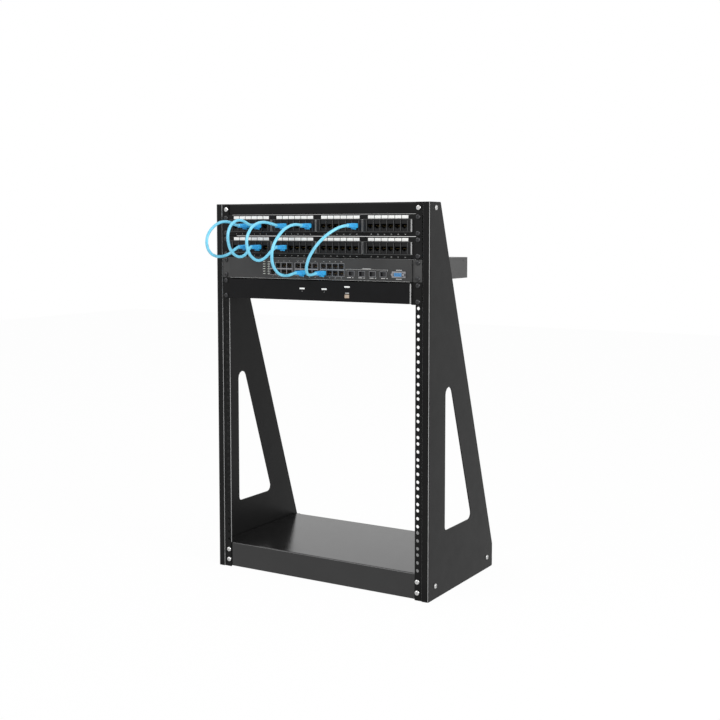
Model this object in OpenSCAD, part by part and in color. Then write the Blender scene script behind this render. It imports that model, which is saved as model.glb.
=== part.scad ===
// Two post open frame rack with bolted-in patch panels, network switch,
// console unit and patch leads.
// X runs across the front, Y from front to back and Z up. The floor is Z = 0.
// Inside the modules Y is measured from the rack's front face, and in_frame()
// then centres the part, without its leads, on the origin.

/* [Frame] */
// Rack units between the bottom pan and the top bar
units = 16; // [8:1:24]
// Overall width over the side panels
rack_w = 516; // [510:1:540]
// Depth of the side panels at the top
top_d = 46.5; // [40:0.5:80]
// Depth of the side panels at the floor
base_d = 302.5; // [280:0.5:420]
// Height of the upright part of the side panels' rear edge
heel_h = 49; // [30:1:53]
// Width of the lip along the front edge of a side panel
lip_w = 14.3; // [8:0.1:15]
// Thickness of the side panels, posts, pan and top bar
sheet = 2; // [1.6:0.1:2.4]
// Outer radius of the folds
fold_r = 3; // [2.6:0.1:4]
// Depth of a post's leg along the side panel
post_leg = 18; // [14:1:19]

/* [Pan and top bar] */
// Height of the bottom pan's top face over the floor
pan_h = 53.8; // [46:0.1:70]
// Gap between the pan's flanges and the floor
pan_gap = 1.8; // [1:0.1:5]
// Distance from the pan's rear edge to the rear of the side panels
pan_setback = 11; // [6:0.5:40]
// Height of the pan's rear flange
pan_rear_h = 36; // [15:1:40]
// Height of the top bar
bar_h = 23; // [20:0.5:40]

/* [Side windows] */
// Height of the window's lower edge over the floor
window_z = 128.3; // [80:0.1:200]
// Distance from the rack's front to the window's upright edge
window_y = 71.9; // [50:0.1:90]
// Width of the band between the window and the sloping rear edge, along Y
window_band = 77.4; // [50:0.1:90]
// Corner radii of the window: front bottom, rear bottom and top
window_radii = [8, 12, 14.6];

/* [Mounting holes] */
// Width of a post's face, from the side panel's outside to the opening
post_face_w = 31.2; // [30.4:0.1:36]
// Distance from the opening to the centres of the mounting holes
hole_inset = 5.75; // [5:0.05:6.4]
// Radius of the mounting holes
hole_r = 3.5; // [3.1:0.1:3.6]
// Clear width between the posts
opening_w = rack_w - 2 * post_face_w;
// Distance between the two columns of holes
column_w = opening_w + 2 * hole_inset;

/* [Screws] */
// Radius of the screw heads
head_r = 5; // [4:0.1:5.5]
// Height of the screw heads
head_h = 2.6; // [2:0.1:3.5]
// Radius of the screw shanks
shank_r = 2.8; // [2:0.1:2.9]
// Clearance round a shank in the frame
shank_gap = 0.3; // [0.1:0.05:0.6]
// Heights of the two screws that hold the pan to a post
pan_screw_z = [15.6, 37.6];
// Distance from a post's leg to the side screw at the top
bar_screw_gap = 6; // [5:0.5:14]
// Distance from a post's leg to the front side screw at the pan
pan_screw_gap = 10.5; // [5:0.5:40]
// Distance from the pan's rear edge to its rear side screw
pan_rear_screw_gap = 16.5; // [6:0.5:40]
// Heights of the front and rear side screws at the pan
pan_side_screw_z = [26, 24.5];

/* [Equipment] */
// How far an equipment front reaches beyond the centres of its holes
ear_reach = 8.75; // [7:0.05:9.2]
// Width of an equipment front over its ears
front_w = column_w + 2 * ear_reach;
// Thickness of the ears and the patch panel plates
plate_t = 1.6; // [1.2:0.1:1.9]
// Gap between an equipment front and the edge of its rack unit
unit_gap = 0.4; // [0.2:0.1:0.8]
// Length of the slots in the ears
slot_l = 10; // [8:0.5:12]
// Half height of the slots in the ears
slot_r = 3.4; // [3:0.1:3.6]

/* [Patch panels] */
// Space that a row of jack modules leaves to a post
panel_margin = 5.8; // [5:0.1:12]
// Gap between jack modules
module_gap = 3.5; // [1.5:0.1:8]
// Height of a jack module
module_h = 25.6; // [22:0.1:27]
// Height of a jack module's centre in its rack unit
module_z = 21.5; // [20:0.1:23]
// How far a jack module stands out of its plate
module_out = 5; // [3:0.1:7]
// Width of a jack module's plain ends
module_end = 7.45; // [5:0.05:9]
// Height of a label cell
label_h = 6.2; // [4:0.1:6.4]
// Gap between a label cell and its jack module
label_gap = 1; // [0.5:0.1:1.6]
// Gap between the label cells of a module
label_space = 1.55; // [0.4:0.05:3]
// Depth of the folded edges of a patch panel
panel_fold_d = 12; // [8:0.5:20]

/* [Jacks and plugs] */
// Width of a jack's opening
jack_w = 11.7; // [11.5:0.1:12.2]
// Height of a jack's opening over its latch notch
jack_h = 7; // [6.8:0.1:7.4]
// Depth of a jack
jack_depth = 13; // [12:0.5:14]
// Clearance round a plug in its jack
plug_gap = 0.2; // [0.1:0.05:0.3]
// Length of a plug's boot
boot_l = 28; // [20:1:34]
// Radius of a patch lead
lead_r = 3; // [2.5:0.1:3.2]

/* [Network switch] */
// Gap between the switch's housing and a post
switch_gap = 7.3; // [6.3:0.1:12]
// Width of the switch's housing
switch_w = opening_w - 2 * switch_gap;
// Distance from the rack's front to the rear of the switch
switch_back = 248; // [180:1:300]
// How far the switch's front stands out of the rack's front
switch_out = 5; // [2:0.5:8]
// Distance between ports in a block
port_pitch = 14.1; // [13.6:0.1:14.4]
// Gap between port blocks
block_gap = 5.7; // [3:0.1:9]
// Heights of the two port rows in the rack unit
port_rows = [14.5, 28.2];
// Width of a transceiver cage
cage_w = 15.2; // [14.4:0.1:16]
// Gap between transceiver cages
cage_gap = 9.3; // [6:0.1:11]
// Gap between the port blocks and the transceiver cages
cage_space = 8.7; // [4:0.1:12]
// Width of the serial port
serial_w = 31; // [30.6:0.1:33]
// Gap between the transceiver cages and the serial port
serial_space = 12; // [6:0.1:16]
// Distance from the serial port to the side of the housing
serial_inset = 10.7; // [6:0.1:16]
// Distance from the side of the housing to the centre of the power inlet
inlet_inset = 69.5; // [30:0.5:200]

/* [Console unit] */
// Gap between the console unit's bezel and a post
bezel_gap = 8.6; // [7.2:0.1:12]
// Width of the console unit's bezel
bezel_w = opening_w - 2 * bezel_gap;
// How far the bezel stands out of the rack's front
bezel_out = 6.5; // [4:0.5:9]
// Distance from the rack's front to the rear of the console unit
console_back = 160; // [120:1:220]
// Offset of the button from the centre
button_x = 75.3; // [60:0.1:90]
// How far the button stands out of the bezel
button_out = 1.2; // [0.6:0.1:2]

/* [Hidden] */
$fn = 48;

// Standard rack unit and the heights of its three holes
unit_h = 44.45;
hole_edge = 6.35;
hole_z = [hole_edge, unit_h / 2, unit_h - hole_edge];

// Frame
half_w = rack_w / 2;
post_x = half_w - sheet;
rack_h = pan_h + units * unit_h + bar_h;
post_y = sheet;
post_back = post_y + post_leg;
clear_r = shank_r + shank_gap;
brace_y = post_y + sheet;
brace_half = post_x - fold_r;
leg_gap = 0.5;
flange_len = 16;
pan_back = base_d - pan_setback;
bar_back = top_d - sheet;
bar_rear_h = bar_h - 6;
slope = (base_d - top_d) / (rack_h - heel_h);
rear_corner_r = 3;
bar_screw_y = post_back + bar_screw_gap;
pan_side_screws = [[post_back + pan_screw_gap, pan_side_screw_z[0]],
    [pan_back - pan_rear_screw_gap, pan_side_screw_z[1]]];

// Units taken by the equipment, counted from the pan
upper_z = pan_h + (units - 1) * unit_h;
lower_z = upper_z - unit_h;
switch_z = lower_z - unit_h;
console_z = switch_z - unit_h;
front_h = unit_h - 2 * unit_gap;
plate_y = post_y - plate_t;
ear_holes = [hole_z[0], hole_z[2]];
plate_fold_r = plate_t + 0.6;
body_gap = 4;
panel_body_w = opening_w - 2 * body_gap;

// Patch panels
modules = 4;
jacks = 6;
module_pitch = (opening_w - 2 * panel_margin) / modules;
module_w = module_pitch - module_gap;
jack_pitch = (module_w - 2 * module_end) / jacks;
module_y = plate_y - module_out;
module_rim = 1.4;
module_tail_w = module_w - 8;
module_tail_h = module_h - 5;
cutout_gap = 0.3;
module_back = module_y + jack_depth + 3;
label_w = jack_pitch - label_space;
label_z = module_z + module_h / 2 + label_gap;
label_t = 0.6;
board_t = 1.6;
board_h = 36;
rear_block_h = 15;
rear_block_d = 13;

// Jack opening: the latch notch hangs under it in two steps
notch_w = [6.2, 3.4];
notch_h = [1.5, 1];

// Network switch
switch_y = -switch_out;
face_t = 1.2;
housing_y = switch_y + face_t;
port_out = 0.8;
port_face = switch_y - port_out;
port_h = 11.6;
block_w = 4 * port_pitch + 0.8;
block_h = port_rows[1] - port_rows[0] + port_h + 1.4;
block_z = (port_rows[0] + port_rows[1]) / 2;
block_back = port_face + jack_depth + 4;
cage_h = 11;
cage_wall = 0.7;
cage_d = 40;
serial_h = 12.6;
inlet_w = 28;
inlet_h = 21;
inlet_d = 14;
seat_gap = 0.2;
ear_leg = 40;

// The ports are set out from the right side of the switch's housing
serial_x = switch_w / 2 - serial_inset - serial_w / 2;
cage_pitch = cage_w + cage_gap;
cage_x = serial_x - serial_w / 2 - serial_space - cage_w / 2 - 3 * cage_pitch;
block_pitch = block_w + block_gap;
block_x = cage_x - cage_w / 2 - cage_space - block_w / 2 - block_pitch;
light_gap = 14.4;
light_step = 9;
light_x = block_x - block_pitch - block_w / 2 - light_gap;
inlet_x = inlet_inset - switch_w / 2;

// Console unit
bezel_t = 6;
bezel_z = 2;
bezel_top_gap = 1.55;
bezel_h = unit_h - bezel_z - bezel_top_gap;
console_w = bezel_w - 2;
console_y = bezel_t - bezel_out;
indicator_size = [12, 3];
indicators = [[-32.9, 26.2], [20.8, 26.2], [button_x, 32]];
rear_socket_inset = 66;
rear_socket_pitch = 45;
rear_power_inset = 28;
button_size = [10, 7];
button_z = 13;

// Plugs of the patch leads
plug_w = jack_w + 0.7;
plug_h = jack_h + 2.4;
nose_l = jack_depth - 2;
boot_r = lead_r + 1;
latch_l = 15;

// The part without its leads reaches from the button to the panels' rear
front_reach = bezel_out + button_out;
middle_y = (base_d - front_reach) / 2;

// Patch leads. Each route is a list of [x, y, z] steps from the centre of
// the upper jack's mouth, between the ends of the two plugs' boots.
jack_mouth = module_y;
lead_a_route = [for (p = [[-47, 2], [-64, 7], [-83, 8], [-102, 5], [-119, -3], [-132, -13],
    [-140, -27], [-139, -42], [-130, -54], [-115, -61], [-97, -63], [-79, -61], [-62, -56],
    [-47, -49]]) [0, p[0], p[1]]];
lead_b_route = [for (p = [[-44, 4], [-57, 9], [-72, 11], [-87, 8.5], [-100, 1], [-108, -10],
    [-111, -23], [-109, -36], [-103, -48], [-93, -57], [-80, -62.5], [-66, -63.5], [-53, -59.5],
    [-43, -52]]) [0, p[0], p[1]]];
lead_c_route = [for (p = [[-49, 3.5], [-66, 6], [-84, 6.5], [-101, 3.5], [-116, -3], [-127, -13],
    [-134, -26], [-134, -40], [-128, -53], [-117, -63], [-102, -69], [-86, -69], [-69, -63],
    [-51, -52]]) [0, p[0], p[1]]];
lead_d_route = [[0, -48, 2], [0, -64, 1], [-1, -80, -3], [-2, -95, -10], [-3, -108, -20],
    [-5, -118, -32], [-7, -124, -46], [-8, -125, -60], [-10, -120, -74], [-11, -110, -86],
    [-12, -96, -95], [-13, -80, -99], [-13, -64, -100], [-13, -48, -98]];
lead_e_route = [[-1, -46, -1], [-4, -60, -4], [-9, -73, -10], [-16, -84, -18], [-24, -92, -28],
    [-33, -96, -39], [-42, -97, -51], [-51, -95, -63], [-59, -90, -75], [-66, -82, -86],
    [-71, -72, -94], [-74, -60, -98], [-75, -48, -98], [-75, -40, -97]];

// ---------------------------------------------------------------- outlines

function unit_vector(v) = v / norm(v);
function left_of(v) = [-v[1], v[0]] / norm(v);

// Points that round the corner at b, between a and c, with radius r
function corner(a, b, c, r, steps = 6) =
    r <= 0 ? [b] :
    let (u = unit_vector(a - b), v = unit_vector(c - b), half = acos(u * v) / 2,
         centre = b + unit_vector(u + v) * r / sin(half),
         first = b + u * r / tan(half) - centre,
         start = atan2(first[1], first[0]),
         turn = (cross(u, v) < 0 ? 1 : -1) * (180 - 2 * half))
    [for (i = [0:steps]) let (angle = start + turn * i / steps)
        centre + r * [cos(angle), sin(angle)]];

// Closed outline with a radius at each corner
function rounded(points, radii) =
    let (n = len(points))
    [for (i = [0:n - 1])
        each corner(points[(i + n - 1) % n], points[i], points[(i + 1) % n], radii[i])];

// Point on the inner side of a folded sheet, t to the left of path[i]
function inner(path, i, t) =
    let (last = len(path) - 1,
         before = left_of(path[max(i, 1)] - path[max(i, 1) - 1]),
         after = left_of(path[min(i, last - 1) + 1] - path[min(i, last - 1)]))
    path[i] + t * (before + after) / (1 + before * after);

// Outline of a sheet of thickness t folded to the left along a path,
// with outer fold radius r
function folded(path, t, r) =
    let (last = len(path) - 1, back = [for (i = [0:last]) inner(path, i, t)])
    concat(
        [path[0]],
        [for (i = [1:1:last - 1]) each corner(path[i - 1], path[i], path[i + 1], r)],
        [path[last], back[last]],
        [for (i = [last - 1:-1:1]) each corner(back[i + 1], back[i], back[i - 1], r - t)],
        [back[0]]);

// Rectangle about the origin
function box_outline(w, h) = [[-w / 2, -h / 2], [w / 2, -h / 2], [w / 2, h / 2], [-w / 2, h / 2]];

// Stretch an outline in Y and Z along X, from x0 for a length
module along_x(x0, length) translate([x0, 0, 0]) rotate([90, 0, 90]) linear_extrude(length) children();

// Stretch an outline in X and Z along Y, from y0 to y1
module along_y(y0, y1) translate([0, y1, 0]) rotate([90, 0, 0]) linear_extrude(y1 - y0) children();

// Hole of radius r along Y through y0 to y1
module bore_y(x, z, r, y0, y1) translate([x, y1, z]) rotate([90, 0, 0]) cylinder(r = r, h = y1 - y0);

module in_frame() translate([0, -middle_y, 0]) children();

module both_sides() {
    children();
    mirror([1, 0, 0]) children();
}

// side is 1 on the right and -1 on the left
module on_side(side) mirror([side < 0 ? 1 : 0, 0, 0]) children();

// ------------------------------------------------------------------- frame

// Rear edge of the side panel at height z
function rear_y(z) = base_d - (z - heel_h) * slope;

window_corners = [
    [window_y, window_z],
    [rear_y(window_z) - window_band, window_z],
    [window_y, heel_h + (base_d - window_band - window_y) / slope]];

module side_panel(side) color("#1c1c1d") in_frame() on_side(side) difference() {
    union() {
        linear_extrude(rack_h)
            polygon(folded([[half_w - lip_w, 0], [half_w, 0], [half_w, fold_r]], sheet, fold_r));
        along_x(post_x, sheet)
            polygon(rounded(
                [[fold_r, 0], [base_d, 0], [base_d, heel_h], [top_d, rack_h], [fold_r, rack_h]],
                [0, rear_corner_r, rear_corner_r, rear_corner_r, 0]));
    }
    along_x(post_x - 1, sheet + 2) polygon(rounded(window_corners, window_radii));
    side_screw_places() cylinder(r = clear_r, h = 3 * sheet, center = true);
}

// Puts its children on the side screws' axes, at the panel's outer face
module side_screw_places() {
    places = concat([[bar_screw_y, rack_h - bar_h / 2]], pan_side_screws);
    for (p = places) translate([half_w, p[0], p[1]]) rotate([0, 90, 0]) children();
}

module post(side) color("#202021") in_frame() on_side(side) difference() {
    linear_extrude(rack_h)
        polygon(folded([[opening_w / 2, post_y], [post_x, post_y], [post_x, post_back]], sheet, fold_r));
    for (u = [0:units - 1], z = hole_z)
        bore_y(column_w / 2, pan_h + u * unit_h + z, hole_r, 0, brace_y + 1);
    for (z = post_screw_z) bore_y(column_w / 2, z, clear_r, 0, brace_y + 1);
}

// Heights of the screws through a post into the pan and the top bar
post_screw_z = concat(pan_screw_z, [rack_h - bar_h / 2]);

module top_bar() color("#1a1a1b") in_frame() difference() {
    union() {
        along_x(-brace_half, 2 * brace_half)
            polygon(folded([[bar_back, rack_h - bar_rear_h], [bar_back, rack_h],
                [brace_y, rack_h], [brace_y, rack_h - bar_h]], sheet, fold_r));
        end_flanges(rack_h, rack_h - bar_h, bar_back);
    }
    both_sides() bore_y(column_w / 2, rack_h - bar_h / 2, clear_r, brace_y - 1, brace_y + sheet + 1);
    both_sides() side_screw_places() cylinder(r = clear_r, h = 5 * sheet, center = true);
}

module bottom_pan() color("#262627") in_frame() difference() {
    union() {
        along_x(-brace_half, 2 * brace_half)
            polygon(folded([[pan_back, pan_h - pan_rear_h], [pan_back, pan_h],
                [brace_y, pan_h], [brace_y, pan_gap]], sheet, fold_r));
        end_flanges(pan_h, pan_gap, pan_back);
    }
    both_sides() for (z = pan_screw_z)
        bore_y(column_w / 2, z, clear_r, brace_y - 1, brace_y + sheet + 1);
    both_sides() side_screw_places() cylinder(r = clear_r, h = 5 * sheet, center = true);
}

// Folded ends of the pan and the top bar, flat against the side panels
module end_flanges(z_top, z_bottom, y_back) both_sides()
    along_y(post_back + leg_gap, y_back)
        polygon(folded([[post_x, z_bottom], [post_x, z_top], [post_x - flange_len, z_top]],
            sheet, fold_r));

// ------------------------------------------------------------------ screws

// Pan head screw with its nut: the head sits on Z = 0 and the nut starts at -grip
module screw(grip) difference() {
    union() {
        rotate_extrude() polygon([[0, -grip - 7], [shank_r, -grip - 7], [shank_r, 0], [head_r, 0],
            [head_r, 0.35 * head_h], [0.88 * head_r, 0.72 * head_h], [0.6 * head_r, head_h],
            [0, head_h]]);
        translate([0, 0, -grip - 4]) cylinder(r = 1.8 * shank_r, h = 4, $fn = 6);
    }
    for (turn = [0, 90]) rotate(turn)
        translate([-0.55 * head_r, -0.45, head_h - 1.2]) cube([1.1 * head_r, 0.9, 2]);
}

module post_screws(side) color("#d8d8d8") in_frame() on_side(side)
    for (z = post_screw_z)
        translate([column_w / 2, post_y, z]) rotate([90, 0, 0]) screw(2 * sheet);

module side_screws(side) color("#b9b9bb") in_frame() on_side(side)
    side_screw_places() screw(2 * sheet);

module equipment_screws(side) color("#2a2a2c") in_frame() on_side(side)
    for (base = [console_z, switch_z, lower_z, upper_z], z = ear_holes)
        translate([column_w / 2, plate_y, base + z]) rotate([90, 0, 0]) screw(plate_t + sheet);

// ------------------------------------------------------------ patch panels

function module_x(m) = (m - (modules - 1) / 2) * module_pitch;
function jack_x(j) = (j - (jacks - 1) / 2) * jack_pitch;

// Position of patch panel port n, counted from 1 on the left, in the unit at base
function panel_port(n, base) =
    [module_x(floor((n - 1) / jacks)) + jack_x((n - 1) % jacks), jack_mouth, base + module_z];

// Slots at the ends of an equipment front
module ear_slots(base) both_sides() for (z = ear_holes) {
    for (end = [-1, 1])
        bore_y(column_w / 2 + end * (slot_l / 2 - slot_r), base + z, slot_r, plate_y - 1, post_y + 1);
    translate([column_w / 2 - slot_l / 2 + slot_r, plate_y - 1, base + z - slot_r])
        cube([slot_l - 2 * slot_r, plate_t + 2, 2 * slot_r]);
}

// Jack opening about the origin, with its latch notch below
module jack_outline(gap = 0) {
    top = jack_h / 2 - gap;
    w = [jack_w / 2 - gap, notch_w[0] / 2 - gap, notch_w[1] / 2 - gap];
    z = [-jack_h / 2 + gap, -jack_h / 2 - notch_h[0] + gap, -jack_h / 2 - notch_h[0] - notch_h[1] + gap];
    polygon([[-w[0], top], [-w[0], z[0]], [-w[1], z[0]], [-w[1], z[1]], [-w[2], z[1]], [-w[2], z[2]],
        [w[2], z[2]], [w[2], z[1]], [w[1], z[1]], [w[1], z[0]], [w[0], z[0]], [w[0], top]]);
}

module panel_plate(base) color("#232324") in_frame() {
    low = base + unit_gap;
    high = low + front_h;
    difference() {
        union() {
            along_x(-panel_body_w / 2, panel_body_w)
                polygon(folded([[plate_y + panel_fold_d, high], [plate_y, high], [plate_y, low],
                    [plate_y + panel_fold_d, low]], plate_t, plate_fold_r));
            both_sides() translate([panel_body_w / 2, plate_y, low])
                cube([(front_w - panel_body_w) / 2, plate_t, front_h]);
        }
        for (m = [0:modules - 1]) translate([module_x(m), 0, base + module_z])
            along_y(plate_y - 1, post_y + 1)
                polygon(box_outline(module_tail_w + 2 * cutout_gap, module_tail_h + 2 * cutout_gap));
        ear_slots(base);
    }
}

// Moulded frame of six jacks: a rim and ribs round the jack faces
module jack_module() {
    face = module_y + module_rim;
    along_y(module_y, face) difference() {
        polygon(box_outline(module_w, module_h));
        for (j = [0:jacks - 1]) translate([jack_x(j), 0])
            polygon(box_outline(jack_pitch - 1.4, module_h - 3));
    }
    along_y(face, plate_y) difference() {
        polygon(box_outline(module_w, module_h));
        for (j = [0:jacks - 1]) translate([jack_x(j), 0]) jack_outline();
    }
    along_y(plate_y, module_y + jack_depth) difference() {
        polygon(box_outline(module_tail_w, module_tail_h));
        for (j = [0:jacks - 1]) translate([jack_x(j), 0]) jack_outline();
    }
    along_y(module_y + jack_depth, module_back) polygon(box_outline(module_tail_w, module_tail_h));
}

module jack_modules(base) color("#0e0e0f") in_frame()
    for (m = [0:modules - 1]) translate([module_x(m), 0, base + module_z]) jack_module();

module label_cells(base) color("#f4f4f2") in_frame()
    for (m = [0:modules - 1], j = [0:jacks - 1])
        translate([module_x(m) + jack_x(j) - label_w / 2, plate_y - label_t, base + label_z])
            cube([label_w, label_t, label_h]);

// Circuit board and punch-down block behind a jack module
module rear_block() {
    slots = 2 * jacks;
    step = module_tail_w / slots;
    along_y(module_back, module_back + board_t) polygon(box_outline(module_tail_w, board_h));
    translate([0, 0, -rear_block_h / 2]) linear_extrude(rear_block_h) difference() {
        translate([-module_tail_w / 2, module_back + board_t]) square([module_tail_w, rear_block_d]);
        for (s = [0:slots - 1])
            translate([(s + 0.5 - slots / 2) * step - 1, module_back + board_t + 6])
                square([2, rear_block_d]);
    }
}

module rear_blocks(base) color("#26443a") in_frame()
    for (m = [0:modules - 1]) translate([module_x(m), 0, base + module_z]) rear_block();

// ---------------------------------------------------------- network switch

function block_pos(b) = block_x + (b - 1) * block_pitch;
function port_x(c) = block_pos(floor(c / 4)) + (c % 4 - 1.5) * port_pitch;
function cage_pos(i) = cage_x + i * cage_pitch;

// Position of the switch's port in column c, counted from 0, and row r
function switch_port(c, r) = [port_x(c), port_face, switch_z + port_rows[r]];

module block_outlines(gap = 0) for (b = [0:2]) translate([block_pos(b), switch_z + block_z])
    polygon(box_outline(block_w + 2 * gap, block_h + 2 * gap));

module cage_outlines(gap = 0) for (i = [0:3]) translate([cage_pos(i), switch_z + port_rows[0]])
    polygon(box_outline(cage_w + 2 * gap, cage_h + 2 * gap));

module serial_outline(gap = 0) translate([serial_x, switch_z + port_rows[0]])
    polygon(box_outline(serial_w + 2 * gap, serial_h + 2 * gap));

module switch_housing() color("#3c3d3f") in_frame() difference() {
    translate([-switch_w / 2, housing_y, switch_z + unit_gap])
        cube([switch_w, switch_back - housing_y, front_h]);
    along_y(housing_y - 1, block_back + seat_gap) block_outlines(seat_gap);
    along_y(housing_y - 1, port_face + cage_d + seat_gap) cage_outlines(seat_gap);
    along_y(housing_y - 1, block_back + seat_gap) serial_outline(seat_gap);
    translate([inlet_x, 0, switch_z + unit_h / 2]) along_y(switch_back - inlet_d - seat_gap, switch_back + 1)
        polygon(box_outline(inlet_w + 2 * seat_gap, inlet_h + 2 * seat_gap));
}

module switch_faceplate() color("#48494b") in_frame() along_y(switch_y, housing_y) difference() {
    translate([0, switch_z + unit_h / 2])
        polygon(rounded(box_outline(switch_w, front_h), [1, 1, 1, 1]));
    block_outlines(seat_gap);
    cage_outlines(seat_gap);
    serial_outline(seat_gap);
}

// Angle bracket that carries a housing of half width x on a post
module ear(x, base) difference() {
    translate([0, 0, base + unit_gap]) linear_extrude(front_h)
        polygon(folded([[x, plate_y + ear_leg], [x, plate_y], [front_w / 2, plate_y]],
            plate_t, plate_fold_r));
    ear_slots(base);
}

module switch_ears() color("#3a3b3d") in_frame() both_sides() ear(switch_w / 2, switch_z);

// Shielded block of four by two ports, with a thin rim round each port
module port_block(b) {
    rim = 0.5;
    back = port_face + jack_depth;
    along_y(port_face, port_face + rim) difference() {
        polygon(box_outline(block_w, block_h));
        for (c = [0:3], r = [0, 1]) translate([(c - 1.5) * port_pitch, port_rows[r] - block_z])
            polygon(box_outline(port_pitch - 1.2, port_h));
    }
    along_y(port_face + rim, back) difference() {
        polygon(box_outline(block_w, block_h));
        for (c = [0:3], r = [0, 1]) translate([(c - 1.5) * port_pitch, port_rows[r] - block_z])
            jack_outline();
    }
    along_y(back, block_back) polygon(box_outline(block_w, block_h));
}

module switch_port_blocks() color("#8c8d90") in_frame()
    for (b = [0:2]) translate([block_pos(b), 0, switch_z + block_z]) port_block(b);

module switch_transceiver_cages() color("#8f9194") in_frame()
    for (i = [0:3]) translate([cage_pos(i), 0, switch_z + port_rows[0]]) {
        along_y(port_face, port_face + cage_d - cage_wall) difference() {
            polygon(box_outline(cage_w, cage_h));
            polygon(box_outline(cage_w - 2 * cage_wall, cage_h - 2 * cage_wall));
        }
        along_y(port_face + cage_d - cage_wall, port_face + cage_d) polygon(box_outline(cage_w, cage_h));
    }

// D-shaped collar with rows of pin holes between two jack screws. It stands
// out of Y = 0 towards -Y, and rows gives the holes in each row from the top.
module d_socket(rows, step) {
    along_y(-4, 0) difference() {
        polygon(rounded([[-8.6, -4.2], [8.6, -4.2], [9.6, 4.2], [-9.6, 4.2]], [2, 2, 2, 2]));
        for (r = [0:len(rows) - 1], c = [0:rows[r] - 1])
            translate([c - (rows[r] - 1) / 2, (len(rows) - 1) / 2 - r] * step) circle(r = 0.6, $fn = 8);
    }
    both_sides() bore_y(12.4, 0, 2.6, -4.5, 0);
}

// Flange of a D-shaped socket
module d_flange(y0, y1)
    along_y(y0, y1) polygon(rounded(box_outline(serial_w, serial_h), [1, 1, 1, 1]));

// Nine pin socket
module switch_serial_port() color("#2d6fb0") in_frame()
    translate([serial_x, port_face, switch_z + port_rows[0]]) {
        d_flange(0, block_back - port_face);
        d_socket([5, 4], 2.8);
    }

// Rows of small lamps on the faceplate
module switch_status_lights() color("#c8d8c0") in_frame()
    for (row = [0:5], c = [0:1])
        translate([light_x + c * light_step, switch_y - 0.4, switch_z + 10 + row * 5])
            cube([2.4, 0.4, 1.4]);

// Rear mains inlet with a recessed mouth
module switch_power_inlet() color("#111112") in_frame()
    translate([inlet_x, 0, switch_z + unit_h / 2]) {
        along_y(switch_back - inlet_d, switch_back + 1.5) difference() {
            polygon(box_outline(inlet_w, inlet_h));
            polygon(rounded(box_outline(inlet_w - 4, inlet_h - 5), [1, 1, 4, 4]));
        }
        along_y(switch_back - inlet_d, switch_back - inlet_d + 3) polygon(box_outline(inlet_w, inlet_h));
        for (c = [-1:1]) translate([c * 7, 0, c == 0 ? -2.5 : 2.5])
            along_y(switch_back - inlet_d + 3, switch_back - 2) polygon(box_outline(2, 4));
    }

// ------------------------------------------------------------ console unit

module console_housing() color("#1d1d1f") in_frame()
    translate([-console_w / 2, console_y, console_z + bezel_z])
        cube([console_w, console_back - console_y, bezel_h]);

module console_bezel() color("#161617") in_frame()
    translate([0, 0, console_z + bezel_z + bezel_h / 2]) along_y(-bezel_out, console_y)
        polygon(rounded(box_outline(bezel_w, bezel_h), [1.5, 1.5, 1.5, 1.5]));

module console_ears() color("#1b1b1c") in_frame() both_sides() ear(console_w / 2, console_z);

module console_indicators() color("#ffffff") in_frame()
    for (p = indicators) translate([p[0], 0, console_z + p[1]])
        along_y(-bezel_out - 0.4, -bezel_out) polygon(box_outline(indicator_size[0], indicator_size[1]));

module console_button() color("#b9a690") in_frame()
    translate([button_x, 0, console_z + button_z]) along_y(-bezel_out - button_out, -bezel_out)
        polygon(rounded(box_outline(button_size[0], button_size[1]), [1, 1, 1, 1]));

// Two fifteen pin sockets and a round power socket on the rear
module console_rear_ports() color("#26324f") in_frame()
    translate([-console_w / 2, console_back, console_z + bezel_z + bezel_h / 2]) mirror([0, 1, 0]) {
        for (i = [0, 1]) translate([rear_socket_inset + i * rear_socket_pitch, 0, 0]) {
            d_flange(-1, 0);
            translate([0, -1, 0]) d_socket([5, 5, 5], 2.3);
        }
        translate([rear_power_inset, 0, 0]) {
            difference() {
                bore_y(0, 0, 5.5, -5, 0);
                bore_y(0, 0, 3.4, -6, -1);
            }
            bore_y(0, 0, 1, -4, -1);
        }
    }

// ------------------------------------------------------------- patch leads

// Plug in a jack whose mouth is at the origin, with its boot towards -Y
module plug() {
    along_y(-plug_gap, nose_l) jack_outline(plug_gap);
    along_y(-9, -plug_gap) polygon(box_outline(plug_w, plug_h));
    hull() {
        along_y(-9.2, -9) polygon(box_outline(plug_w, plug_h));
        bore_y(0, 0, boot_r, -boot_l, -boot_l + 0.2);
    }
    translate([0, 0, -plug_h / 2]) along_x(-3, 6)
        polygon([[-latch_l, 0.6], [-plug_gap, 0], [-plug_gap, -2.4], [-3, -2.4]]);
}

// End of the boot of a plug whose jack is at p
function boot_end(p) = p - [0, boot_l, 0];

// Whole route of a lead between two jacks
function lead_path(from, to, route) =
    concat([boot_end(from)], [for (p = route) from + [p[0], p[1] - jack_mouth, p[2]]], [boot_end(to)]);

// Direction of a route at point i; a lead leaves its boots straight along Y
function heading(path, i) =
    i == 0 ? [0, -1, 0] : i == len(path) - 1 ? [0, 1, 0] : unit_vector(path[i + 1] - path[i - 1]);

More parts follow.
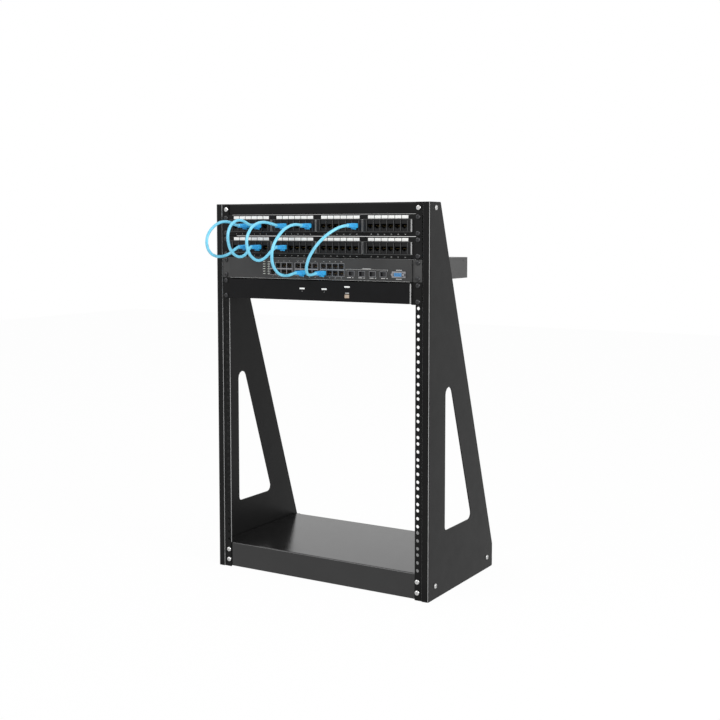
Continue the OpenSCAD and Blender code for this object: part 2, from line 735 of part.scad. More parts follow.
// Round tube along a route, with one ring at each point
module tube(path) {
    sides = 8;
    last = len(path) - 1;
    rings = [for (i = [0:last])
        let (t = heading(path, i), u = unit_vector(cross(t, [1, 0, 0])), v = cross(t, u))
        each [for (s = [0:sides - 1]) path[i] + lead_r * (cos(s * 360 / sides) * u + sin(s * 360 / sides) * v)]];
    walls = [for (i = [0:last - 1], s = [0:sides - 1])
        let (next = (s + 1) % sides)
        each [[i * sides + s, i * sides + next, (i + 1) * sides + next],
              [i * sides + s, (i + 1) * sides + next, (i + 1) * sides + s]]];
    polyhedron(rings, concat(
        [[for (s = [sides - 1:-1:0]) s]],
        walls,
        [[for (s = [0:sides - 1]) last * sides + s]]));
}

// Jacks that each lead joins, and its route
leads = [
    [panel_port(3, upper_z), panel_port(3, lower_z), lead_a_route],
    [panel_port(5, upper_z), panel_port(5, lower_z), lead_b_route],
    [panel_port(8, upper_z), panel_port(8, lower_z), lead_c_route],
    [panel_port(12, upper_z), switch_port(5, 0), lead_d_route],
    [panel_port(18, upper_z), switch_port(8, 0), lead_e_route]];

module lead(i) color("#3fb4e8") in_frame() tube(lead_path(leads[i][0], leads[i][1], leads[i][2]));

module lead_plugs(i) color("#35a8de") in_frame()
    for (end = [0, 1]) translate(leads[i][end]) plug();

// ------------------------------------------------------------------- nodes

side_panel(-1);  // left_side_panel
side_panel(1);  // right_side_panel
post(-1);  // left_post
post(1);  // right_post
top_bar();
bottom_pan();
post_screws(-1);  // left_post_screws
post_screws(1);  // right_post_screws
side_screws(-1);  // left_side_screws
side_screws(1);  // right_side_screws
equipment_screws(-1);  // left_equipment_screws
equipment_screws(1);  // right_equipment_screws
panel_plate(upper_z);  // upper_panel_plate
jack_modules(upper_z);  // upper_jack_modules
label_cells(upper_z);  // upper_label_cells
rear_blocks(upper_z);  // upper_rear_blocks
panel_plate(lower_z);  // lower_panel_plate
jack_modules(lower_z);  // lower_jack_modules
label_cells(lower_z);  // lower_label_cells
rear_blocks(lower_z);  // lower_rear_blocks
switch_housing();
switch_faceplate();
switch_ears();
switch_port_blocks();
switch_transceiver_cages();
switch_serial_port();
switch_status_lights();
switch_power_inlet();
console_housing();
console_bezel();
console_ears();
console_indicators();
console_button();
console_rear_ports();
lead(0);  // lead_a
lead_plugs(0);  // lead_a_plugs
lead(1);  // lead_b
lead_plugs(1);  // lead_b_plugs
lead(2);  // lead_c
lead_plugs(2);  // lead_c_plugs
lead(3);  // lead_d
lead_plugs(3);  // lead_d_plugs
lead(4);  // lead_e
lead_plugs(4);  // lead_e_plugs
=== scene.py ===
"""Finishes for a two post open frame rack with patch panels, a network switch,
a console unit and blue patch leads. Lengths are in metres."""
import math

import bmesh
import bpy
from mathutils import Matrix, Vector


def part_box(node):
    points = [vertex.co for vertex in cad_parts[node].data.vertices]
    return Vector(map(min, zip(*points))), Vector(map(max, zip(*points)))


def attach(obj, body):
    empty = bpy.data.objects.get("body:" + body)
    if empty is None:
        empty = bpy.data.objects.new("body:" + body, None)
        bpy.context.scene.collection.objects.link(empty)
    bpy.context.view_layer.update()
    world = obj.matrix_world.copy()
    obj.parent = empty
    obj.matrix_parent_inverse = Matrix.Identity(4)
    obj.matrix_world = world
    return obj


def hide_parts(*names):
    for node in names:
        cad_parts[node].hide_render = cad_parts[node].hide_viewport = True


bl_info = {
    "name": "Open frame rack finishes",
    "version": (1, 0, 0),
    "blender": (4, 5, 0),
    "location": "View3D > Sidebar > Rack",
    "description": "Dresses a two post open frame rack and the equipment bolted into it",
    "category": "Object",
}

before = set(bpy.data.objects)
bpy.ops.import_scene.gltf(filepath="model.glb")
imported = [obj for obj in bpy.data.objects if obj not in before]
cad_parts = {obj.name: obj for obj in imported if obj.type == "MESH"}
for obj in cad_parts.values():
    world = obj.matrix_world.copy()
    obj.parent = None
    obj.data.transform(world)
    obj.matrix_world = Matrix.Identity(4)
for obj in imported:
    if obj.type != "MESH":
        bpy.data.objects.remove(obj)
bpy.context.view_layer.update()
BODY = "root"
MM = 0.001

PANELS = ("upper", "lower")
MODULES = 4
JACKS = 6
JACK_PITCH = 15.35 * MM
MODULE_W = 107 * MM
JACK_W = 11.7 * MM
JACK_H = 7 * MM
JACK_RIM = 1.4 * MM
WIRES = 8
WIRE_PITCH = 1.02 * MM
WIRE_L = 7 * MM
REAR_BLOCK_W = MODULE_W - 8 * MM
PORT_BLOCKS = 3
PORT_COLUMNS = 4
PORT_PITCH = 14.1 * MM
PORT_ROW_PITCH = 13.7 * MM
PORT_BLOCK_W = PORT_COLUMNS * PORT_PITCH + 0.8 * MM
PORT_RIM = 0.5 * MM
CAGES = 4
SOCKET_DEPTH = 0.5 * MM
REAR_SOCKET_INSET = 15.5 * MM
REAR_SOCKET_PITCH = 45 * MM
INDICATOR_W = 12 * MM
INDICATOR_PITCH = 53.7 * MM
INK = 0.06 * MM
SIDES = ((-1, "left"), (1, "right"))
FACE_FRONT = Matrix.Rotation(math.pi / 2, 4, "X")


# ------------------------------------------------------------- measured places


def low(node):
    return Vector(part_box(node)[0])


def high(node):
    return Vector(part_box(node)[1])


def middle(node):
    return (low(node) + high(node)) / 2


def size(node):
    return high(node) - low(node)


def spread(start, stop, count):
    """Evenly spaced numbers from start to stop."""
    return [start + (stop - start) * i / (count - 1) for i in range(count)]


def module_centres(panel):
    node = f"{panel}_jack_modules"
    first = low(node).x + MODULE_W / 2
    last = high(node).x - MODULE_W / 2
    return [Vector((x, low(node).y, middle(node).z)) for x in spread(first, last, MODULES)]


def jack_mouths(panel):
    """Centres of a patch panel's jack openings, from left to right."""
    offsets = [(j - (JACKS - 1) / 2) * JACK_PITCH for j in range(JACKS)]
    return [c + Vector((dx, JACK_RIM, 0)) for c in module_centres(panel) for dx in offsets]


def port_mouths():
    """Centres of the switch's ports, column by column, lower port first."""
    node = "switch_port_blocks"
    half = PORT_BLOCK_W / 2
    centres = spread(low(node).x + half, high(node).x - half, PORT_BLOCKS)
    mouths = []
    for x in centres:
        for column in range(PORT_COLUMNS):
            dx = (column - (PORT_COLUMNS - 1) / 2) * PORT_PITCH
            for row in (-0.5, 0.5):
                z = middle(node).z + row * PORT_ROW_PITCH
                mouths.append(Vector((x + dx, low(node).y + PORT_RIM, z)))
    return mouths


# ------------------------------------------------------------------- materials


def shader(name, **sockets):
    """A material whose main shader has these socket values."""
    material = bpy.data.materials.new(name)
    material.use_nodes = True
    principled = material.node_tree.nodes["Principled BSDF"]
    for key, value in sockets.items():
        principled.inputs[key.replace("_", " ")].default_value = value
    return material, material.node_tree, principled


def grey(level):
    return (level, level, level, 1)


def object_noise(tree, scale, detail):
    """Noise fixed to the object."""
    coordinates = tree.nodes.new("ShaderNodeTexCoord")
    noise = tree.nodes.new("ShaderNodeTexNoise")
    noise.inputs["Scale"].default_value = scale
    noise.inputs["Detail"].default_value = detail
    tree.links.new(coordinates.outputs["Object"], noise.inputs["Vector"])
    return noise


def tint(tree, principled, noise, start, stop, colour_a, colour_b):
    """Base colour that drifts from one tone to another with the noise."""
    node = tree.nodes.new("ShaderNodeValToRGB")
    node.color_ramp.elements[0].position = start
    node.color_ramp.elements[1].position = stop
    node.color_ramp.elements[0].color = colour_a
    node.color_ramp.elements[1].color = colour_b
    tree.links.new(noise.outputs["Fac"], node.inputs["Fac"])
    tree.links.new(node.outputs["Color"], principled.inputs["Base Color"])


def paler(colour, share):
    return tuple(min(1, channel * share) for channel in colour[:3]) + (1,)


def roughen(tree, principled, noise, least, most):
    span = tree.nodes.new("ShaderNodeMapRange")
    span.inputs["To Min"].default_value = least
    span.inputs["To Max"].default_value = most
    tree.links.new(noise.outputs["Fac"], span.inputs["Value"])
    tree.links.new(span.outputs["Result"], principled.inputs["Roughness"])


def emboss(tree, principled, noise, strength, depth):
    bump = tree.nodes.new("ShaderNodeBump")
    bump.inputs["Strength"].default_value = strength
    bump.inputs["Distance"].default_value = depth
    tree.links.new(noise.outputs["Fac"], bump.inputs["Height"])
    tree.links.new(bump.outputs["Normal"], principled.inputs["Normal"])


def powder_coat(name, dark, pale, gloss, grain=1400, shine=0.3):
    """Fine orange peel of a baked coat over sheet steel."""
    material, tree, principled = shader(name, Specular_IOR_Level=shine)
    tint(tree, principled, object_noise(tree, 18, 4), 0.3, 0.7, grey(dark), grey(pale))
    roughen(tree, principled, object_noise(tree, 45, 2), gloss - 0.04, gloss + 0.06)
    emboss(tree, principled, object_noise(tree, grain, 2), 0.25, 0.0002)
    return material


def bright_metal(name, colour, gloss):
    """Plated steel with fine drawing marks."""
    material, tree, principled = shader(name, Metallic=1.0)
    marks = object_noise(tree, 900, 3)
    tint(tree, principled, marks, 0.35, 0.65, colour, paler(colour, 1.15))
    roughen(tree, principled, marks, gloss, gloss + 0.15)
    return material


def moulded(name, colour, gloss, grain=2500, depth=0.00008, shine=0.5):
    """Moulded plastic with a fine spark-eroded grain."""
    material, tree, principled = shader(name, Specular_IOR_Level=shine)
    cloud = object_noise(tree, 60, 3)
    tint(tree, principled, cloud, 0.35, 0.65, colour, paler(colour, 1.12))
    roughen(tree, principled, cloud, gloss, gloss + 0.1)
    emboss(tree, principled, object_noise(tree, grain, 2), 0.3, depth)
    return material


def finish(node, material):
    """Gives a CAD node a finish."""
    node_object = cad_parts[node]
    node_object.data.materials.clear()
    node_object.data.materials.append(material)


FINISHES = {}


def palette(context):
    """All finishes, made once."""
    if not FINISHES:
        FINISHES.update(all_finishes(tuple(context.scene.rack_colours.lead) + (1,)))
    return FINISHES


def all_finishes(cable):
    return {
        "frame": powder_coat("black_powder_coat", 0.004, 0.006, 0.38, shine=0.12),
        "pan": powder_coat("pan_powder_coat", 0.006, 0.009, 0.16, shine=0.5),
        "panel": powder_coat("panel_coat", 0.004, 0.007, 0.40, 1800, 0.12),
        "switch": powder_coat("switch_coat", 0.050, 0.060, 0.45, 1800, 0.2),
        "switch_face": powder_coat("switch_face_coat", 0.036, 0.046, 0.48, 1800, 0.2),
        "bezel": moulded("bezel_plastic", (0.004, 0.004, 0.0045, 1), 0.30, shine=0.12),
        "zinc": bright_metal("zinc_plate", (0.52, 0.52, 0.515, 1), 0.24),
        "dark_screw": bright_metal("black_oxide", (0.05, 0.05, 0.052, 1), 0.35),
        "black_plastic": moulded("black_plastic", (0.005, 0.005, 0.0055, 1), 0.30, shine=0.2),
        # rib: grey of the ribs between jacks, also used as a painted highlight round each jack
        # module's frame.
        "rib": moulded("rib_grey_and_highlight", (0.10, 0.10, 0.10, 1), 0.35),
        # edge: pale grey used as painted highlights on folds, cut edges, module ends and bezel ends,
        # where they catch the light.
        "edge": moulded("painted_edge_highlight", (0.36, 0.36, 0.36, 1), 0.35),
        "label": moulded("label_card", (0.88, 0.88, 0.86, 1), 0.6),
        "block": moulded("block_plastic", (0.02, 0.02, 0.022, 1), 0.45),
        "board": moulded("circuit_board", (0.015, 0.11, 0.045, 1), 0.35),
        "shield": bright_metal("nickel_shield", (0.24, 0.24, 0.25, 1), 0.34),
        "gold": bright_metal("gold_plate", (0.30, 0.22, 0.09, 1), 0.30),
        "serial": moulded("serial_plastic", (0.05, 0.20, 0.42, 1), 0.4),
        "lamp": moulded("lamp_lens", (0.50, 0.54, 0.46, 1), 0.25),
        "button": moulded("button_plastic", (0.42, 0.33, 0.25, 1), 0.45),
        "boot": moulded("boot_plastic", (0.030, 0.34, 0.66, 1), 0.35),
        "cable": moulded("cable_jacket", cable, 0.30, 900, 0.00002),
        "ink": moulded("white_ink", (0.62, 0.62, 0.61, 1), 0.6),
    }


# ---------------------------------------------------------------- making meshes


def piece(name, build, material):
    """A new mesh piece on the rack, built by build(bm)."""
    mesh = bpy.data.meshes.new(name)
    bm = bmesh.new()
    build(bm)
    bm.to_mesh(mesh)
    bm.free()
    mesh.materials.append(material)
    made = bpy.data.objects.new(name, mesh)
    bpy.context.collection.objects.link(made)
    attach(made, BODY)
    return made


def block(bm, centre, dimensions, bevel=0.0, segments=2):
    """A box with bevelled edges."""
    made = bmesh.ops.create_cube(bm, size=1.0)
    verts = made["verts"]
    bmesh.ops.scale(bm, vec=Vector(dimensions), verts=verts)
    bmesh.ops.translate(bm, vec=Vector(centre), verts=verts)
    if bevel > 0:
        edges = list({e for v in verts for e in v.link_edges})
        made = bmesh.ops.bevel(bm, geom=edges, offset=bevel, offset_type="OFFSET",
                               segments=segments, profile=0.5, affect="EDGES", material=-1)
        verts = made["verts"]
    return verts


def rod(bm, matrix, length, radius, end_radius, segments):
    """A round bar or a low cone along the Z of its matrix."""
    bmesh.ops.create_cone(bm, cap_ends=True, segments=segments, radius1=radius,
                          radius2=end_radius, depth=length, matrix=matrix)


def lettering(bm, text, centre, height):
    """Raised printing that faces the front of the rack."""
    capital_share = 0.7
    data = bpy.data.curves.new("print", "FONT")
    data.body = text
    data.size = height / capital_share
    data.align_x = "CENTER"
    data.align_y = "CENTER"
    data.extrude = INK
    data.resolution_u = 2
    letters = bpy.data.objects.new("print", data)
    mesh = bpy.data.meshes.new_from_object(letters)
    mesh.transform(Matrix.Translation(centre) @ FACE_FRONT)
    bm.from_mesh(mesh)
    bpy.data.objects.remove(letters)
    bpy.data.curves.remove(data)
    bpy.data.meshes.remove(mesh)


def dash(bm, centre, width, height):
    """A printed bar on a front."""
    block(bm, centre, (width, 2 * INK, height))


# ------------------------------------------------------------------- the leads

# Steps of each lead's route in mm from its upper jack, as (x, y, z), with y
# measured from the rack's front. They repeat the routes of the CAD solids.
ROUTES = {
    "lead_a": [(0, -47, 2), (0, -64, 7), (0, -83, 8), (0, -102, 5), (0, -119, -3), (0, -132, -13),
               (0, -140, -27), (0, -139, -42), (0, -130, -54), (0, -115, -61), (0, -97, -63),
               (0, -79, -61), (0, -62, -56), (0, -47, -49)],
    "lead_b": [(0, -44, 4), (0, -57, 9), (0, -72, 11), (0, -87, 8.5), (0, -100, 1), (0, -108, -10),
               (0, -111, -23), (0, -109, -36), (0, -103, -48), (0, -93, -57), (0, -80, -62.5),
               (0, -66, -63.5), (0, -53, -59.5), (0, -43, -52)],
    "lead_c": [(0, -49, 3.5), (0, -66, 6), (0, -84, 6.5), (0, -101, 3.5), (0, -116, -3),
               (0, -127, -13), (0, -134, -26), (0, -134, -40), (0, -128, -53), (0, -117, -63),
               (0, -102, -69), (0, -86, -69), (0, -69, -63), (0, -51, -52)],
    "lead_d": [(0, -48, 2), (0, -64, 1), (-1, -80, -3), (-2, -95, -10), (-3, -108, -20),
               (-5, -118, -32), (-7, -124, -46), (-8, -125, -60), (-10, -120, -74),
               (-11, -110, -86), (-12, -96, -95), (-13, -80, -99), (-13, -64, -100),
               (-13, -48, -98)],
    "lead_e": [(-1, -46, -1), (-4, -60, -4), (-9, -73, -10), (-16, -84, -18), (-24, -92, -28),
               (-33, -96, -39), (-42, -97, -51), (-51, -95, -63), (-59, -90, -75), (-66, -82, -86),
               (-71, -72, -94), (-74, -60, -98), (-75, -48, -98), (-75, -40, -97)],
}
UPPER_PORTS = {"lead_a": 3, "lead_b": 5, "lead_c": 8, "lead_d": 12, "lead_e": 18}
LOWER_PORTS = {"lead_a": 3, "lead_b": 5, "lead_c": 8}
SWITCH_COLUMNS = {"lead_d": 5, "lead_e": 8}
BOOT_L = 28 * MM
NOSE_L = 11 * MM


def rack_front():
    """The Y of the rack's front face."""
    return low("left_side_panel").y


def lead_jacks(name):
    """The mouths of the two jacks that a lead joins."""
    upper = jack_mouths("upper")[UPPER_PORTS[name] - 1] - Vector((0, JACK_RIM, 0))
    if name in LOWER_PORTS:
        lower = jack_mouths("lower")[LOWER_PORTS[name] - 1] - Vector((0, JACK_RIM, 0))
    else:
        lower = port_mouths()[2 * SWITCH_COLUMNS[name]] - Vector((0, PORT_RIM, 0))
    return upper, lower


def lead_route(name):
    upper, lower = lead_jacks(name)
    back = Vector((0, BOOT_L, 0))
    points = [upper - back]
    for x, y, z in ROUTES[name]:
        points.append(Vector((upper.x + x * MM, rack_front() + y * MM, upper.z + z * MM)))
    points.append(lower - back)
    return points


def spline_length(curve_object):
    """Length of a curve as it is drawn."""
    steps = bpy.data.meshes.new_from_object(curve_object)
    length = sum((steps.vertices[e.vertices[0]].co - steps.vertices[e.vertices[1]].co).length
                 for e in steps.edges)
    bpy.data.meshes.remove(steps)
    return length


def lead_curve(name, material):
    """A round jacket along a smooth curve through the route's points."""
    points = lead_route(name)
    data = bpy.data.curves.new(name + "_jacket", "CURVE")
    data.dimensions = "3D"
    data.resolution_u = 8
    spline = data.splines.new("BEZIER")
    spline.bezier_points.add(len(points) - 1)
    for knot, point in zip(spline.bezier_points, points):
        knot.co = point
        knot.handle_left_type = "AUTO"
        knot.handle_right_type = "AUTO"
    for knot in (spline.bezier_points[0], spline.bezier_points[-1]):
        outward = -1 if knot is spline.bezier_points[0] else 1
        handle = Vector((0, outward * 5 * MM, 0))
        knot.handle_left_type = "FREE"
        knot.handle_right_type = "FREE"
        knot.handle_right = knot.co + handle
        knot.handle_left = knot.co - handle
    made = bpy.data.objects.new(name + "_jacket", data)
    bpy.context.collection.objects.link(made)
    length = spline_length(made)
    data.bevel_depth = bpy.context.scene.rack_sizes.lead_diameter / 2
    data.bevel_resolution = 5
    data.use_fill_caps = True
    data.materials.append(material)
    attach(made, BODY)
    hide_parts(name)
    return made, points[0], length


def boot(bm, mouth):
    """A booted plug: nose in the jack, square grip, ribbed taper and latch guard."""
    gap = 0.2 * MM
    nose = (JACK_W - 2 * gap, NOSE_L + gap, JACK_H - 2 * gap)
    block(bm, mouth + Vector((0, (NOSE_L - gap) / 2, 0)), nose, 0.4 * MM)
    grip_l, grip_w, grip_h = 9 * MM, 12.4 * MM, 9.4 * MM
    block(bm, mouth - Vector((0, grip_l / 2 + gap / 2, 0)), (grip_w, grip_l - gap, grip_h),
          1.2 * MM, 3)
    ribs, rib_share, rib_round = 6, 0.72, 0.14
    first_w, first_h, last = 11.6 * MM, 9 * MM, 8 * MM
    taper_l = BOOT_L - grip_l
    step = taper_l / ribs
    for i in range(ribs):
        t = (i + 0.5) / ribs
        width = (1 - t) * first_w + t * last
        height = (1 - t) * first_h + t * last
        centre = mouth - Vector((0, grip_l + (i + 0.5) * step, 0))
        block(bm, centre, (width, step * rib_share, height), min(width, height) * rib_round, 3)
    core = 7.2 * MM
    block(bm, mouth - Vector((0, (BOOT_L + grip_l) / 2, 0)), (core, taper_l - gap, core),
          2 * MM, 3)
    guard = block(bm, mouth + Vector((0, -6.5 * MM, -5.6 * MM)),
                  (6 * MM, 11 * MM, 2.6 * MM), 0.6 * MM)
    bmesh.ops.rotate(bm, cent=mouth + Vector((0, -12 * MM, -5 * MM)), verts=guard,
                     matrix=Matrix.Rotation(math.radians(-6), 3, "X"))


class RACK_OT_leads(bpy.types.Operator):
    """Five patch leads with booted plugs"""

    bl_idname = "rack.leads"
    bl_label = "Patch leads"

    def execute(self, context):
        finishes = palette(context)
        for name in ROUTES:
            jacket, leaves, length = lead_curve(name, finishes["cable"])

            def both_boots(bm, name=name):
                for mouth in lead_jacks(name):
                    boot(bm, mouth)

            boots = piece(name + "_boots", both_boots, finishes["boot"])
            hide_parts(name + "_plugs")
        return {"FINISHED"}


# ------------------------------------------------------------------- the frame


def upright(bm, x, y, z0, z1, radius):
    """A thin round bead up an edge."""
    rod(bm, Matrix.Translation((x, y, (z0 + z1) / 2)), z1 - z0, radius, radius, 10)


def paint_fold_highlights(bm):
    """Painted highlight: a pale bead along the front folds of the side panels, where the folds catch
    the light.
    """
    fold, end = 3 * MM, 0.2 * MM
    inset = fold - fold * math.sqrt(0.5)
    for side, hand in SIDES:
        node = f"{hand}_side_panel"
        edge = low(node).x if side < 0 else high(node).x
        upright(bm, edge - side * inset, low(node).y + inset, low(node).z + end,
                high(node).z - end, 0.45 * MM)


def paint_edge_highlights(bm):
    """Painted highlights: pale strips on the cut edges of the side panels' lips and of the posts,
    where these edges catch the light.
    """
    sheet, thin = 2 * MM, 0.12 * MM
    pan_top = high("bottom_pan").z
    console_foot = low("console_ears").z
    for side, hand in SIDES:
        panel, post = f"{hand}_side_panel", f"{hand}_post"
        lip = high(panel).x if side < 0 else low(panel).x
        block(bm, (lip, low(panel).y + sheet / 2, middle(panel).z),
              (2 * thin, sheet - 0.2 * MM, size(panel).z - 0.4 * MM))
        inner = high(post).x if side < 0 else low(post).x
        block(bm, (inner, low(post).y + sheet / 2, (pan_top + console_foot) / 2),
              (2 * thin, sheet - 0.2 * MM, console_foot - pan_top))


class RACK_OT_frame(bpy.types.Operator):
    """Black powder coat on the side panels, posts, top bar and pan, and bright screws"""

    bl_idname = "rack.frame"
    bl_label = "Frame"

    def execute(self, context):
        finishes = palette(context)
        finish("top_bar", finishes["frame"])
        finish("bottom_pan", finishes["pan"])
        for _, hand in SIDES:
            finish(f"{hand}_side_panel", finishes["frame"])
            finish(f"{hand}_post", finishes["frame"])
            finish(f"{hand}_post_screws", finishes["zinc"])
            finish(f"{hand}_side_screws", finishes["zinc"])
            finish(f"{hand}_equipment_screws", finishes["dark_screw"])
        piece("side_panel_fold_highlights", paint_fold_highlights, finishes["edge"])
        piece("sheet_edge_highlights", paint_edge_highlights, finishes["edge"])
        return {"FINISHED"}


# ------------------------------------------------------------ the patch panels


def contacts(bm, mouths):
    """Eight sprung wires in each jack."""
    lean = Matrix.Rotation(math.radians(24), 3, "X")
    for mouth in mouths:
        for i in range(WIRES):
            x = (i - (WIRES - 1) / 2) * WIRE_PITCH
            place = mouth + Vector((x, WIRE_L / 2 + 2 * MM, 0.4 * MM))
            wire = block(bm, place, (0.45 * MM, WIRE_L, 0.35 * MM))
            bmesh.ops.rotate(bm, cent=place, verts=wire, matrix=lean)


def jack_contacts(bm, panel):
    contacts(bm, jack_mouths(panel))


def module_edge_highlights_and_ribs(bm, panel):
    """Pale lines on the jack modules' fronts: a frame round each, a painted highlight where the
    module's edges catch the light, and a grey rib between jacks.
    """
    line, thin = 0.5 * MM, 0.2 * MM
    tall = size(f"{panel}_jack_modules").z
    for centre in module_centres(panel):
        front = centre - Vector((0, thin / 2, 0))
        for z in (-0.5, 0.5):
            block(bm, front + Vector((0, 0, z * (tall - line))), (MODULE_W, thin, line))
        for x in (-0.5, 0.5):
            block(bm, front + Vector((x * (MODULE_W - line), 0, 0)), (line, thin, tall - 2 * line))
        for j in range(JACKS + 1):
            x = (j - JACKS / 2) * JACK_PITCH
            block(bm, front + Vector((x, 0, 0)), (line, thin, tall - 5 * MM))


def module_side_highlights(bm, panel):
    """Pale upright strips at both ends of each jack module: a painted highlight where the module's
    side walls catch the light.
    """
    tall = size(f"{panel}_jack_modules").z
    deep = low(f"{panel}_panel_plate").y - low(f"{panel}_jack_modules").y
    for centre in module_centres(panel):
        for side in (-0.5, 0.5):
            block(bm, centre + Vector((side * MODULE_W, deep / 2, 0)),
                  (0.3 * MM, deep - 0.2 * MM, tall - 1 * MM))


def panel_print(bm, panel):
    """Port numbers under the jacks."""
    plate = f"{panel}_panel_plate"
    for i, mouth in enumerate(jack_mouths(panel)):
        place = Vector((mouth.x, low(plate).y - INK, low(plate).z + 3.7 * MM))
        lettering(bm, str(i + 1), place, 2.2 * MM)


def boards(bm, panel):
    """The bare circuit board above and below each punch-down block."""
    node = f"{panel}_rear_blocks"
    for centre in module_centres(panel):
        for side in (-1, 1):
            place = Vector((centre.x, low(node).y + 1.7 * MM, middle(node).z + side * 12.9 * MM))
            block(bm, place, (REAR_BLOCK_W - 0.6 * MM, 0.3 * MM, 9.4 * MM))


def punch_contacts(bm, panel):
    """A forked contact in each slot of the punch-down blocks."""
    node = f"{panel}_rear_blocks"
    slots = 2 * JACKS
    for centre in module_centres(panel):
        for i in range(slots):
            x = centre.x + (i + 0.5 - slots / 2) * REAR_BLOCK_W / slots
            for side in (-1, 1):
                place = Vector((x, high(node).y - 4 * MM, middle(node).z + side * 4 * MM))
                block(bm, place, (0.5 * MM, 6 * MM, 2.4 * MM))


PANEL_FINISHES = {"panel_plate": "panel", "jack_modules": "black_plastic", "label_cells": "label",
                  "rear_blocks": "block"}
PANEL_PIECES = (
    ("jack_contacts", jack_contacts, "gold", "nickel_shields"),
    ("module_edge_highlights_and_ribs", module_edge_highlights_and_ribs, "rib", "black_plastic"),
    ("module_side_highlights", module_side_highlights, "edge", "black_plastic"),
    ("port_numbers", panel_print, "ink", "white_labels"),
    ("circuit_boards", boards, "board", "punch_down_plastic"),
    ("punch_contacts", punch_contacts, "zinc", "nickel_shields"),
)


class RACK_OT_patch_panels(bpy.types.Operator):
    """Plates, jack modules, label cells, contacts and rear blocks of both patch panels"""

    bl_idname = "rack.patch_panels"
    bl_label = "Patch panels"

    def execute(self, context):
        finishes = palette(context)
        for panel in PANELS:
            for node, key in PANEL_FINISHES.items():
                finish(f"{panel}_{node}", finishes[key])
            for name, build, key, slot in PANEL_PIECES:
                piece(f"{panel}_{name}", lambda bm: build(bm, panel), finishes[key])
        return {"FINISHED"}


# ----------------------------------------------------------- the network switch


def switch_print(bm):
    """Port numbers, rules and bars printed on the switch's face."""
    plate = "switch_faceplate"
    face = low(plate).y - INK
    line = 0.35 * MM
    blocks, cages = "switch_port_blocks", "switch_transceiver_cages"
    serial, lights = "switch_serial_port", "switch_status_lights"
    for i, mouth in enumerate(port_mouths()):
        z = high(blocks).z + 2.7 * MM if i % 2 else low(blocks).z - 2.7 * MM
        lettering(bm, str(i + 1), Vector((mouth.x, face, z)), 1.8 * MM)
    rule_z = high(cages).z + 3 * MM
    left, right = low(cages).x - 5 * MM, high(cages).x + 2 * MM
    dash(bm, Vector(((left + right) / 2, face, rule_z)), right - left, line)
    for x in (left, right):
        dash(bm, Vector((x, face, rule_z - 1.5 * MM)), line, 3 * MM)
    dash(bm, Vector(((left + right) / 2, face, rule_z + 1.6 * MM)), 20 * MM, 1.0 * MM)
    for x in spread(low(cages).x + 5 * MM, high(cages).x - 5 * MM, CAGES):
        for dx, width in ((-3 * MM, 9 * MM), (6 * MM, 3 * MM)):
            dash(bm, Vector((x + dx, face, low(cages).z - 2.6 * MM)), width, 1.0 * MM)
    for z in (low(serial).z - 2.4 * MM, high(serial).z + 2.4 * MM):
        dash(bm, Vector((middle(serial).x, face, z)), 13 * MM, 1.1 * MM)
    for z in spread(low(lights).z + 0.7 * MM, high(lights).z - 0.7 * MM, 6):
        for x in (low(lights).x - 1.8 * MM, high(lights).x + 2.6 * MM):
            dash(bm, Vector((x, face, z)), 2.6 * MM, 1.0 * MM)
    dash(bm, Vector((low(blocks).x - 3.6 * MM, face, middle(blocks).z)), line, size(blocks).z)
    dash(bm, Vector((middle(plate).x, face, low(plate).z + 0.5 * MM)), size(plate).x - 4 * MM,
         0.3 * MM)


def port_inserts(bm):
    """Dark plastic round each port's mouth, inside its thin metal rim."""
    wide, tall, thin = PORT_PITCH - 1.4 * MM, 11.4 * MM, 0.12 * MM
    notch = 6.2 * MM
    for mouth in port_mouths():
        front = mouth - Vector((0, thin / 2, 0))
        above = (tall - JACK_H) / 2
        block(bm, front + Vector((0, 0, (JACK_H + above) / 2)), (wide, thin, above))
        beside = (wide - notch) / 2
        for side in (-1, 1):
            block(bm, front + Vector((side * (notch + beside) / 2, 0, -(JACK_H + above) / 2)),
                  (beside, thin, above))
            edge = (wide - JACK_W) / 2
            block(bm, front + Vector((side * (JACK_W + edge) / 2, 0, 0)), (edge, thin, JACK_H))


def socket_face(bm, centre, away):
    """Coloured insulator in the mouth of a D-shaped socket; away is -1 to the front."""
    deep = 0.3 * MM
    block(bm, centre + Vector((0, away * deep / 2, 0)), (16.4 * MM, deep, 7 * MM), 0.12 * MM)


def socket_pins(bm, centre, away, rows, step):
    """Dark discs over the pin holes: painted shade inside the holes."""
    radius = 0.55 * MM
    for r, count in enumerate(rows):
        for c in range(count):
            x = (c - (count - 1) / 2) * step
            z = ((len(rows) - 1) / 2 - r) * step
            place = centre + Vector((x, away * 0.32 * MM, z))
            rod(bm, Matrix.Translation(place) @ FACE_FRONT, 0.1 * MM, radius, radius, 10)


def serial_mouth():
    """Middle of the serial port's mouth."""
    node = "switch_serial_port"
    return Vector((middle(node).x, low(node).y + SOCKET_DEPTH, middle(node).z))


def cage_flaps(bm):
    """The sprung dust door of each transceiver cage, hinged at its top."""
    cages = "switch_transceiver_cages"
    half = 7.6 * MM
    for x in spread(low(cages).x + half, high(cages).x - half, CAGES):
        place = Vector((x, low(cages).y + 6 * MM, middle(cages).z))
        block(bm, place, (13.2 * MM, 0.3 * MM, 9.2 * MM))


